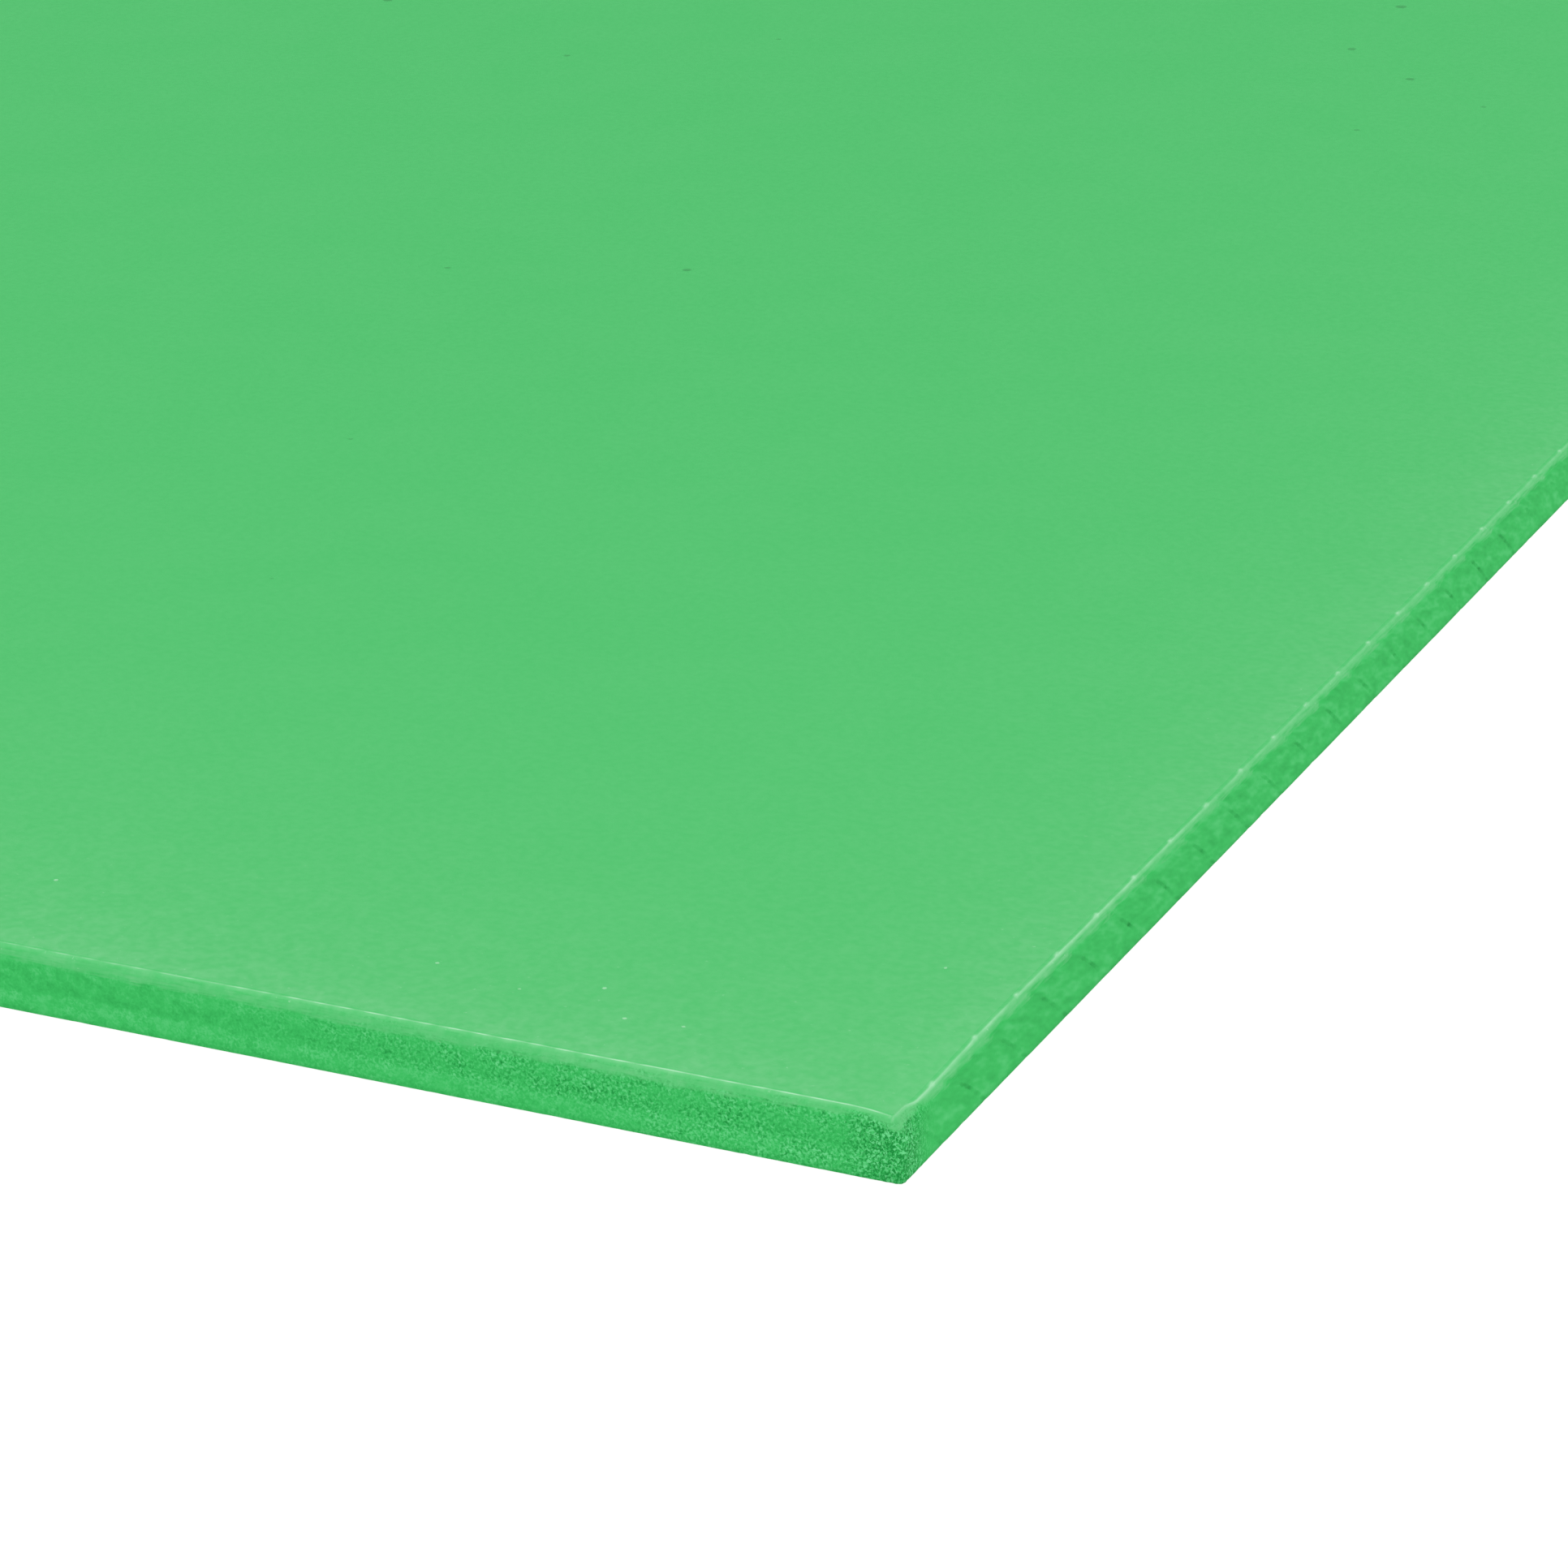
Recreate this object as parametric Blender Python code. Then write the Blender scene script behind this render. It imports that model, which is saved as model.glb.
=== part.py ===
"""A sheet of rigid foamed PVC board, lying flat on its underside.

Units are metres and +Z is up. The origin is the centre of the underside,
X runs across the sheet and Y along it.
"""
import math

import bmesh
import bpy

# Overall size of the cut sheet
SHEET_WIDTH = 0.300
SHEET_LENGTH = 0.400
THICKNESS = 0.005

# The upper arris is rolled over where the sheet was cut: the flat face stops
# short of the edge at a crisp crease, and a smooth shoulder falls to the edge.
SHOULDER_INSET = 0.0005
SHOULDER_DROP = 0.0011
SHOULDER_STEPS = 6

# The lower arris is only broken, as a small quarter round
LOWER_ROUNDING = 0.0002
LOWER_STEPS = 3

# Radius of the flat face's corners in plan; the edge runs round outside it
FACE_CORNER_RADIUS = 0.0007
CORNER_STEPS = 10

# Creases sharper than this stay crisp, the rest is shaded as one round surface
CREASE_ANGLE = math.radians(30)

# Grass green, coloured all through, with a satin skin (linear RGB)
BOARD_COLOUR = (0.055, 0.503, 0.127)
BOARD_ROUGHNESS = 0.45

OBJECT_NAME = "foam_board"
COLLECTION_NAME = "pvc_foam_board"


def clear_scene():
    for old in list(bpy.data.objects):
        bpy.data.objects.remove(old, do_unlink=True)


def make_material():
    material = bpy.data.materials.new("foamed_pvc")
    material.use_nodes = True
    shader = material.node_tree.nodes["Principled BSDF"]
    shader.inputs["Base Color"].default_value = (*BOARD_COLOUR, 1.0)
    shader.inputs["Roughness"].default_value = BOARD_ROUGHNESS
    shader.inputs["Metallic"].default_value = 0.0
    return material


def make_core_block(bm):
    """The straight part of the edge: a block between the two rounded arrises."""
    height = THICKNESS - SHOULDER_DROP - LOWER_ROUNDING
    bmesh.ops.create_cube(bm, size=1.0)
    bmesh.ops.scale(bm, vec=(SHEET_WIDTH, SHEET_LENGTH, height), verts=bm.verts)
    lift = LOWER_ROUNDING + height / 2
    bmesh.ops.translate(bm, vec=(0, 0, lift), verts=bm.verts)


def round_corners(bm):
    """Round the four upright edges, concentric with the face's own corners."""
    upright = [edge for edge in bm.edges if is_upright(edge)]
    bmesh.ops.bevel(
        bm,
        geom=upright,
        affect="EDGES",
        offset_type="OFFSET",
        offset=FACE_CORNER_RADIUS + SHOULDER_INSET,
        segments=CORNER_STEPS,
        profile=0.5,
        material=-1,
    )


def is_upright(edge):
    low, high = (vert.co for vert in edge.verts)
    return (low - high).xy.length < abs(low.z - high.z)


def end_face(bm, direction):
    """The large face whose normal points up (+1) or down (-1)."""
    return max(bm.faces, key=lambda face: face.normal.z * direction * face.calc_area())


def roll_arris(bm, face, inset, rise, steps):
    """Grow the face outwards along a circular arc that leaves the edge upright.

    The arc starts at the edge and ends where it has come in by inset and
    gone out by rise. Equal values give a quarter round, and a smaller inset
    ends at a crease.
    """
    sweep = 2 * math.atan2(inset, rise)
    radius = rise / math.sin(sweep)
    angles = [sweep * step / steps for step in range(steps + 1)]
    for angle, following in zip(angles, angles[1:]):
        bmesh.ops.inset_region(
            bm,
            faces=[face],
            thickness=radius * (math.cos(angle) - math.cos(following)),
            depth=radius * (math.sin(following) - math.sin(angle)),
            use_boundary=True,
            use_even_offset=True,
        )


def make_board():
    bm = bmesh.new()
    make_core_block(bm)
    round_corners(bm)
    bm.normal_update()
    roll_arris(bm, end_face(bm, 1), SHOULDER_INSET, SHOULDER_DROP, SHOULDER_STEPS)
    roll_arris(bm, end_face(bm, -1), LOWER_ROUNDING, LOWER_ROUNDING, LOWER_STEPS)
    mesh = bpy.data.meshes.new(OBJECT_NAME)
    bm.to_mesh(mesh)
    bm.free()
    mesh.shade_smooth()
    mesh.set_sharp_from_angle(angle=CREASE_ANGLE)
    mesh.materials.append(make_material())
    return bpy.data.objects.new(OBJECT_NAME, mesh)


def main():
    clear_scene()
    collection = bpy.data.collections.new(COLLECTION_NAME)
    bpy.context.scene.collection.children.link(collection)
    collection.objects.link(make_board())


main()
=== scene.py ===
# %% [markdown]
# # A sheet of foamed PVC board
#
# The object is a cut sheet of green rigid foam. Melted PVC full of gas is
# pressed out of a wide slot and cooled between rollers, so both faces get a
# thin smooth skin, while the inside stays a mass of closed cells. Cutting the
# sheet opens those cells, and that is why its edges look so unlike its faces.
#
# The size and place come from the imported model, which holds the same sheet as
# a plain solid. This lesson makes the detailed sheet that stands for it.

# %% Load the frame
import math

import bmesh
import bpy
from mathutils import Matrix, Vector, noise


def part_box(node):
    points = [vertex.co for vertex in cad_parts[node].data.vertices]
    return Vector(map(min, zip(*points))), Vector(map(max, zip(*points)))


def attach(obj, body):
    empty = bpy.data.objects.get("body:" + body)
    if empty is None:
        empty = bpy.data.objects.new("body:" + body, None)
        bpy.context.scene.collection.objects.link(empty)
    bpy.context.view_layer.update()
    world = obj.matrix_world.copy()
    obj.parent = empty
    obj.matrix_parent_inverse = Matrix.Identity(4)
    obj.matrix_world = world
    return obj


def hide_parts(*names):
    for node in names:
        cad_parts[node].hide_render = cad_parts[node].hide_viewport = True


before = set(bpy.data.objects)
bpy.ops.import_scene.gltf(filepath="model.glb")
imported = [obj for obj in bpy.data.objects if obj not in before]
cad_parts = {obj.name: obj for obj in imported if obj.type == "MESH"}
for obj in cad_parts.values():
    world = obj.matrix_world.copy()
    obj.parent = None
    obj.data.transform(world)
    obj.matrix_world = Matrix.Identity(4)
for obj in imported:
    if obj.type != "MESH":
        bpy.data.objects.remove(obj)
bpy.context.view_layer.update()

board_low, board_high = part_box("foam_board")
width, length, thickness = board_high - board_low
MM = 0.001
print("sheet in mm:", [round(side / MM, 2) for side in (width, length, thickness)])

# %% [markdown]
# ## The blank
#
# The sheet could start as a subdivided grid with Solidify, but then its edge
# would be one more strip of the same grid. The edge is what we want to work
# on, so we start from a cube, cut it into 10 mm squares, and round its four
# upright corners. The faces stay coarse and the edge gets all the detail.
#
# The blank is a hair smaller than the sheet, so that the rough surface put on
# later never stands out of the true size.

# %% Cut a cube into squares and round the corners
ROUGH_ROOM = 0.03 * MM
SQUARE = 10 * MM
CORNER_RADIUS = 0.85 * MM
CORNER_STEPS = 4
SHOULDER_DROP = 1.1 * MM
LOWER_ROUNDING = 0.06 * MM
# Heights and depths that differ by less than this count as equal
CLOSE = 0.01 * MM
# An edge or a normal follows an axis when at least this share of it does
STRAIGHT = 0.99

half_x = width / 2 - ROUGH_ROOM
half_y = length / 2 - ROUGH_ROOM
edge_low = LOWER_ROUNDING
edge_high = thickness - SHOULDER_DROP


def runs_along(edge, axis):
    step = edge.verts[1].co - edge.verts[0].co
    return abs(step[axis]) > STRAIGHT * step.length


def make_blank():
    bm = bmesh.new()
    bmesh.ops.create_cube(bm, size=1.0)
    bmesh.ops.scale(bm, vec=(2 * half_x, 2 * half_y, edge_high - edge_low), verts=bm.verts)
    bmesh.ops.translate(bm, vec=(0, 0, (edge_low + edge_high) / 2), verts=bm.verts)
    for axis, side in ((0, width), (1, length)):
        edges = [edge for edge in bm.edges if runs_along(edge, axis)]
        cuts = round(side / SQUARE) - 1
        bmesh.ops.subdivide_edges(bm, edges=edges, cuts=cuts, use_grid_fill=True)
    corners = [edge for edge in bm.edges if is_corner(edge)]
    bmesh.ops.bevel(
        bm, geom=corners, affect="EDGES", offset=CORNER_RADIUS, segments=CORNER_STEPS,
        profile=0.5, material=-1,
    )
    bm.normal_update()
    return bm


def is_corner(edge):
    place = edge.verts[0].co
    on_both = abs(place.x) > half_x - SQUARE / 2 and abs(place.y) > half_y - SQUARE / 2
    return runs_along(edge, 2) and on_both


board = make_blank()
print("blank:", len(board.verts), "vertices,", len(board.faces), "faces")

# %% [markdown]
# ## The arrises
#
# Where a face meets an edge the sheet has an arris. The cutter dragged the
# skin down over the upper one: the flat face ends in a sharp crease with a
# tiny raised lip, and below it a smooth shoulder rolls over into the edge.
# The lower arris is only broken.
#
# Bevel would round both sides of the arris alike. Insetting the face and
# lifting it a little at each step gives any section we like, and it keeps the
# rows of the edge in line with each other, which the next steps need.

# %% Roll the arrises over
SHOULDER_INSET = 0.45 * MM
SHOULDER_STEPS = 5
LOWER_STEPS = 2
LIP_HEIGHT = 0.02 * MM
# Each step of the face from the crease inwards: how far in, in millimetres, and
# how far up, as a share of the lip's height
LIP_STEPS = ((0.08, 1.0), (0.08, -0.7), (0.09, -0.3))
# Rings of the flat face inside the lip, in millimetres from the last ring
RIM_STEPS = (0.8, 1.4, 2.5)
# The points of a shrunken corner lie within this of its middle
SHRUNKEN = 0.2 * MM


def facing(bm, sign):
    """The faces that look up, for a sign of 1, or down, for -1."""
    return [face for face in bm.faces if face.normal.z * sign > STRAIGHT]


def arc_steps(inset, rise, steps):
    """Steps along a circular arc that leaves upright and ends at (inset, rise)."""
    sweep = 2 * math.atan2(inset, rise)
    radius = rise / math.sin(sweep)
    angles = [sweep * step / steps for step in range(steps + 1)]
    for a, b in zip(angles, angles[1:]):
        yield radius * (math.cos(a) - math.cos(b)), radius * (math.sin(b) - math.sin(a))


def grow(bm, faces, steps):
    """Inset a face and lift it, once for each step."""
    for inset, rise in steps:
        bmesh.ops.inset_region(
            bm, faces=faces, thickness=inset, depth=rise, use_boundary=True,
            use_even_offset=True,
        )


def depth_in(place):
    """How far a point lies in from the sheet's outline."""
    return min(half_x - abs(place.x), half_y - abs(place.y))


def inside(face, height):
    """Whether a face lies at this height and within the shrunken corners."""
    level = all(abs(vert.co.z - height) < CLOSE for vert in face.verts)
    return level and all(depth_in(vert.co) > CORNER_RADIUS - CLOSE for vert in face.verts)


def rings_inwards(bm, faces, gone, steps):
    """Flat rings; the first shrinks each rounded corner to a single point.

    Merging an arc to its point replaces the face at that corner, so the faces
    are looked up again before the next ring.
    """
    grow(bm, faces, [(CORNER_RADIUS - gone, 0)])
    height = faces[0].verts[0].co.z
    ring = list(dict.fromkeys(vert for face in faces for vert in face.verts))
    for x in (CORNER_RADIUS - half_x, half_x - CORNER_RADIUS):
        for y in (CORNER_RADIUS - half_y, half_y - CORNER_RADIUS):
            centre = Vector((x, y, height))
            arc = [vert for vert in ring if (vert.co - centre).length < SHRUNKEN]
            ring = [vert for vert in ring if vert not in arc]
            bmesh.ops.pointmerge(bm, verts=arc, merge_co=centre)
    bm.normal_update()
    middle = [face for face in bm.faces if inside(face, height)]
    grow(bm, middle, [(step * MM, 0) for step in steps])


upper = facing(board, 1)
grow(board, upper, arc_steps(SHOULDER_INSET, SHOULDER_DROP - LIP_HEIGHT, SHOULDER_STEPS))
grow(board, upper, [(inset * MM, rise * LIP_HEIGHT) for inset, rise in LIP_STEPS])
lip_end = SHOULDER_INSET + sum(inset for inset, rise in LIP_STEPS) * MM
rings_inwards(board, upper, lip_end, RIM_STEPS)

lower = facing(board, -1)
grow(board, lower, arc_steps(LOWER_ROUNDING, LOWER_ROUNDING, LOWER_STEPS))
rings_inwards(board, lower, LOWER_ROUNDING, RIM_STEPS[-1:])
print("with arrises:", len(board.verts), "vertices")

# %% [markdown]
# ## Rows and columns on the edge
#
# A foam cell is about 0.3 mm wide. Splitting the edge into rows and columns a
# little wider than that gives each quad about one cell to carry. Only the
# edges that run round the sheet are cut, so the large faces stay light. Where
# the fine columns meet the coarse squares, faces with many corners are left,
# and those are split into triangles.

# %% Split the edge into rows and columns
ROWS = 11
COLUMNS = 24
FINE_RIM = CORNER_RADIUS + sum(RIM_STEPS[:2]) * MM
# Edges longer than this haven't been split yet
UNSPLIT = 2 * MM


def runs_round(edge):
    a, b = (vert.co for vert in edge.verts)
    level = abs(a.z - b.z) < CLOSE and abs(depth_in(a) - depth_in(b)) < CLOSE
    return level and edge.calc_length() > UNSPLIT and depth_in(a) < FINE_RIM + CLOSE


upright = [edge for edge in board.edges if runs_along(edge, 2) and edge.calc_length() > UNSPLIT]
bmesh.ops.subdivide_edges(board, edges=upright, cuts=ROWS - 1, use_grid_fill=True)
around = [edge for edge in board.edges if runs_round(edge)]
bmesh.ops.subdivide_edges(board, edges=around, cuts=COLUMNS - 1, use_grid_fill=True)
many_sided = [face for face in board.faces if len(face.verts) > 4]
bmesh.ops.triangulate(board, faces=many_sided, quad_method="BEAUTY", ngon_method="BEAUTY")
print("edge split:", len(board.verts), "vertices,", len(board.faces), "faces")

# %% [markdown]
# ## Grains in the skin
#
# A few scorched grains of resin were rolled into the upper skin, and a few
# white ones near the front. Each is a pit of about a millimetre or less, and a
# pattern in the material would never put them where they lie. Instead we take
# the square that holds the spot, inset it, give the inner face eight corners
# and draw them into a ring round the grain. Two more insets follow: one stays
# flat, which keeps the shading of the square as it was, and one sinks the
# bottom. The bottom's points are painted at once, from -1 for a dark grain to
# 1 for a pale one, because nothing later could tell them from the others.

# %% Press the grains in
# Place from the right edge and from the front edge, width, all in millimetres
DARK_GRAINS = (
    (66.0, 287.0, 1.2), (181.3, 248.6, 1.1), (64.9, 266.9, 0.9), (54.4, 256.9, 0.9),
    (43.1, 248.8, 0.6), (52.9, 235.2, 0.6), (128.7, 248.2, 0.6), (148.6, 233.1, 0.7),
    (98.1, 163.5, 0.8), (121.1, 155.5, 0.6), (103.6, 106.0, 0.45), (91.6, 72.0, 0.35),
)
PALE_GRAINS = (
    (24.0, 6.6, 0.3), (19.65, 7.0, 0.26), (40.45, 9.55, 0.28), (27.55, 10.4, 0.3),
    (6.9, 22.6, 0.25), (73.7, 11.4, 0.3), (84.2, 12.2, 0.25), (33.0, 8.0, 0.22),
)
GRAIN_SINK = 0.02 * MM
# The square keeps a border this wide, so that its own corners aren't moved
GRAIN_BORDER = 0.1 * MM
# The outer ring of a pit, whose faces stay flat, is this many times its bottom
GRAIN_RINGS = 1.8
# Grains of at least this many millimetres get their full colour
FULL_STRENGTH = 0.8
# The narrow faces of the rim are smaller than this and hold no grain
WHOLE_SQUARE = 30 * MM ** 2


def holds(face, spot, room):
    """Whether an upright square of the face holds a spot with some room round it."""
    low = [min(vert.co[axis] for vert in face.verts) for axis in (0, 1)]
    high = [max(vert.co[axis] for vert in face.verts) for axis in (0, 1)]
    return all(low[axis] + room < spot[axis] < high[axis] - room for axis in (0, 1))


def press_grain(bm, squares, grain):
    """Sink a small round pit in the upper face, and give its bottom's corners."""
    from_right, from_front, size = (value * MM for value in grain)
    spot = Vector((width / 2 - from_right, from_front - length / 2, thickness))
    ring = GRAIN_RINGS * size / 2
    face = next(face for face in squares if holds(face, spot, ring))
    squares.remove(face)
    bmesh.ops.inset_individual(bm, faces=[face], thickness=GRAIN_BORDER, use_even_offset=True)
    bmesh.ops.subdivide_edges(bm, edges=list(face.edges), cuts=1)
    middle = face.calc_center_median()
    for vert in face.verts:
        away = (vert.co - middle).normalized() * ring
        vert.co.x, vert.co.y = spot.x + away.x, spot.y + away.y
    step = (GRAIN_RINGS - 1) * size / 4
    for sink in (0, GRAIN_SINK):
        bmesh.ops.inset_individual(
            bm, faces=[face], thickness=step, depth=-sink, use_even_offset=True,
        )
    return list(face.verts)


board.normal_update()
grain_paint = board.verts.layers.float.new("grain")
squares = [face for face in facing(board, 1) if face.calc_area() > WHOLE_SQUARE]
for grains, sign in ((DARK_GRAINS, -1), (PALE_GRAINS, 1)):
    for grain in grains:
        strength = min(grain[2] / FULL_STRENGTH, 1.0)
        for vert in press_grain(board, squares, grain):
            vert[grain_paint] = sign * strength
painted = sum(1 for vert in board.verts if vert[grain_paint])
print("grains:", len(DARK_GRAINS + PALE_GRAINS), "with", painted, "painted points")

# %% [markdown]
# ## Tools for the relief
#
# From here on every point is moved a little by a few rules. They all ask the same things: how far
# in from the outline a point lies, which way is out, and what a smooth noise says there.

# %% Small tools for the relief
def smooth(low, high, value):
    """0 below low, 1 above high, and an easy curve between."""
    t = min(max((value - low) / (high - low), 0.0), 1.0)
    return t * t * (3 - 2 * t)


def bell(distance, reach):
    """1 at no distance, and nearly 0 past twice the reach."""
    return math.exp(-(distance / reach) ** 2)


def wave(place, size, seed):
    """Smooth noise from -1 to 1 whose lumps are about size wide.

    Each seed reads the noise at another place, so no two waves are alike.
    """
    return noise.noise(place / size + Vector((seed, seed * 1.7, -seed)))


def outwards(place):
    """The direction in plan from the sheet's middle out through its nearest edge."""
    reach_x, reach_y = half_x - CORNER_RADIUS, half_y - CORNER_RADIUS
    x = place.x - min(max(place.x, -reach_x), reach_x)
    y = place.y - min(max(place.y, -reach_y), reach_y)
    if x == 0 and y == 0:
        if half_x - abs(place.x) < half_y - abs(place.y):
            x = math.copysign(1, place.x)
        else:
            y = math.copysign(1, place.y)
    return Vector((x, y, 0)).normalized()


# %% [markdown]
# ## A map for baking
#
# The sheet's colours can be baked into one square picture, and its parts are not equally
# interesting, so we lay them out one by one. The upper face gets most of the picture, and the
# underside a small place beside it. The edge is unrolled, cut into nine bands and stacked below,
# three times as fine as the face. It is measured before the points move, so that no band can
# fold.

# %% Lay out the map
PICTURE = 1024
# Left and lower side of each part in the picture, and its pixels to a millimetre
TOP_PLACE, TOP_FINE = (10, 416), 2.0
UNDER_PLACE, UNDER_FINE = (818, 748), 0.66
BAND_PLACE, BAND_FINE = (12, 8), (6.4, 5.8)
BANDS, BAND_PITCH = 9, 45

girth = 4 * (half_x + half_y)
band_length = girth / BANDS


def along_outline(place):
    """How far round a point lies, anticlockwise from the front left corner."""
    out = outwards(place)
    if abs(out.y) > abs(out.x):
        return place.x + half_x if out.y < 0 else 3 * half_x + 2 * half_y - place.x
    return place.y + 2 * half_x + half_y if out.x > 0 else 4 * half_x + 3 * half_y - place.y


def flat_spot(place):
    """Where a point of a face lies in the picture, in pixels."""
    if place.z > thickness / 2:
        corner, across, up = TOP_PLACE, half_y + place.y, half_x - place.x
        fine = TOP_FINE / MM
    else:
        corner, across, up = UNDER_PLACE, half_x + place.x, half_y - place.y
        fine = UNDER_FINE / MM
    return corner[0] + across * fine, corner[1] + up * fine


def band_spot(place, middle):
    """Where a point of the edge lies in the picture, near a middle along the outline."""
    band = int(middle / band_length)
    along = along_outline(place)
    along += girth * round((middle - along) / girth) - band * band_length
    inwards = depth_in(place) if place.z > thickness / 2 else -depth_in(place)
    up = CORNER_RADIUS + place.z + inwards
    x = BAND_PLACE[0] + along / MM * BAND_FINE[0]
    return x, BAND_PLACE[1] + band * BAND_PITCH + up / MM * BAND_FINE[1]


sheet_map = board.loops.layers.uv.new("OFBake")
for face in board.faces:
    centre = face.calc_center_median()
    on_edge = depth_in(centre) < CORNER_RADIUS
    middle = along_outline(centre)
    for loop in face.loops:
        place = loop.vert.co
        x, y = band_spot(place, middle) if on_edge else flat_spot(place)
        loop[sheet_map].uv = x / PICTURE, y / PICTURE
print("edge:", round(girth / MM), "mm round, in bands of", round(band_length / MM, 1), "mm")

# %% [markdown]
# ## Saw marks
#
# The two long edges were sawn. Each tooth came down the edge on a slant: it
# raised a burr on the upper arris, dragged a tongue of skin down with it, and
# ran out at the lower arris further along. The next one followed 7 mm on.
# From one track to the next the cut gets slowly deeper, and there it steps back.

# %% Saw marks
MARK_PITCH = 7.2 * MM
FIRST_MARK = 6.0 * MM
MARK_LEAN = 7.8 * MM
MARK_CURVE = 0.75
MARK_STEP = 0.015 * MM
# Where each tooth tore out foam: how far below the face, over what height, and
# how strongly
TEARS = ((1.95, 0.36, 0.8), (2.85, 0.36, 1.0), (3.75, 0.3, 0.4), (4.75, 0.25, 0.8))
TEAR_REACH = 0.28 * MM
TEAR_DEPTH = 0.07 * MM
# How strong a tear usually is, and how much luck adds or takes
TEAR_USUAL, TEAR_LUCK = 0.7, 0.8


def saw_track(place):
    """How many pitches along the edge a point lies, following the slanting tracks."""
    drop = max(thickness - place.z, 0.0)
    lean = MARK_LEAN * (drop / thickness) ** MARK_CURVE
    return (place.y + half_y - FIRST_MARK - lean) / MARK_PITCH


def from_track(track):
    """How far the nearest track is."""
    return abs(track - round(track)) * MARK_PITCH


def tear_at(place):
    """How badly the foam is torn at this height of the nearest track.

    Luck is read from the noise at a place of its own for each track. The noise
    is 0 at all whole numbers, and so the track's number is scaled first.
    """
    drop = (thickness - place.z) / MM
    number = round(saw_track(place))
    luck = Vector((number * 0.37, math.copysign(3, place.x), drop))
    worst = max(share * bell(drop - middle, reach) for middle, reach, share in TEARS)
    return worst * (TEAR_USUAL + TEAR_LUCK * noise.noise(luck))


def saw_cut(place):
    """How far the saw went in at this point of a long edge."""
    track = saw_track(place)
    torn_out = tear_at(place) * bell(from_track(track), TEAR_REACH)
    return MARK_STEP * (track % 1) + TEAR_DEPTH * torn_out


# %% [markdown]
# ## Blunted corners
#
# A corner of soft foam never stays sharp. Each one here took a knock from the
# side: the first millimetres of the arris are pushed in and end at a small
# step, and the skin round the knock sags. The dent is deepest at the top and
# gone at the bottom. On the near corner it is 0.4 mm deep and 3 mm long.

# %% Blunted corners
# Signs of the corner in x and y, then in millimetres how far it is pushed in,
# along how much of the long edge, and how far the skin sags
KNOCKS = (
    (1, -1, 0.42, 2.9, 0.36), (-1, -1, 0.5, 1.6, 0.3),
    (1, 1, 0.3, 2.4, 0.3), (-1, 1, 0.6, 1.2, 0.4),
)
KNOCK_HEIGHT = 2.8 * MM
# How far across the face the push reaches, in millimetres, and the small step
# that it ends in, as shares of the knock's length
KNOCK_REACH_IN = 1.6
KNOCK_STEP = (0.8, 1.2)
# The sag's middle and reach along the long edge, and its reach across the face,
# as shares of the knock's length
SAG_MIDDLE, SAG_ALONG, SAG_ACROSS = 1.5, 2.6, 0.75
# Past this many lengths of the knock, across the face and along the long edge,
# nothing moves
KNOCK_ACROSS, KNOCK_ALONG = 4, 8


def knock_in(place, knock):
    """Push a point of this corner in and down, and say how much of a knock it got."""
    sign_x, sign_y, pushed, span, down = knock
    in_x, in_y = (half_x - sign_x * place.x) / MM, (half_y - sign_y * place.y) / MM
    if in_x > KNOCK_ACROSS * span or in_y > KNOCK_ALONG * span:
        return place, 0.0
    begin, stop = (share * span for share in KNOCK_STEP)
    knocked = (1 - smooth(begin, stop, in_y)) * bell(in_x, KNOCK_REACH_IN)
    sag = bell(in_y - SAG_MIDDLE * span, SAG_ALONG * span) * bell(in_x, SAG_ACROSS * span)
    height = smooth(thickness - KNOCK_HEIGHT, thickness, place.z)
    moved = Vector((sign_x * pushed * knocked, 0, down * sag)) * MM
    return place - moved * height, knocked


def which_knock(place):
    return next(knock for knock in KNOCKS if place.x * knock[0] >= 0 and place.y * knock[1] >= 0)


# %% [markdown]
# ## Rough the edge up and paint the marks
#
# Every point near the edge now moves: inwards by the relief of the cut, and on
# the lip up, down and sideways. Each point also gets a few numbers between 0
# and 1 that the materials read, painted from the same distances, so that
# colour and shape agree:
#
# - skin: smooth skin, as on the faces and the shoulder, or open cells
# - smeared: cells that the saw or the knife wiped shut
# - lip: the pale burr on the crease, whitened skin with a painted highlight along it, wider where
#   the sheet was sawn or knocked
# - rubbed: the skin near the arris, paler, partly dulled by handling and partly a painted sheen
# - torn: coarse torn cells, as at the upright corners
# - rim shade: painted shade along the lower arris, darkest at the corners
# - height bands: a paler band low on a cut end, and a darker one above it
#
# Two more say where a saw's tooth passed: track counts the pitches along the
# edge, and tear tells how badly the foam was torn at that height.

# %% Where the skin ends
# How far below the face the skin ends where a knife sheared it and where a saw
# cut it, and how much further down a tooth's tongue and a knock take it
SHEARED_SKIN = 0.95 * MM
SAWN_SKIN = 0.5 * MM
TONGUE = 0.4 * MM
NOSE = 0.8 * MM
# Its border sways by this much, in waves of this width
SKIN_SWAY, SKIN_WAVES = 0.2 * MM, 1.6 * MM
# It is lost where the foam is torn, and on a cut end also near the corner
TORN_LOSS = 0.4 * MM
CORNER_LOSS, CORNER_LOSS_REACH = 0.25 * MM, 12 * MM
# How softly it ends, and how much of it is left on the edge, where it was stretched
SKIN_FADE = 0.4 * MM
STRETCHED = 0.7


def from_corner(place):
    return math.hypot(half_x - abs(place.x), half_y - abs(place.y))


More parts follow.
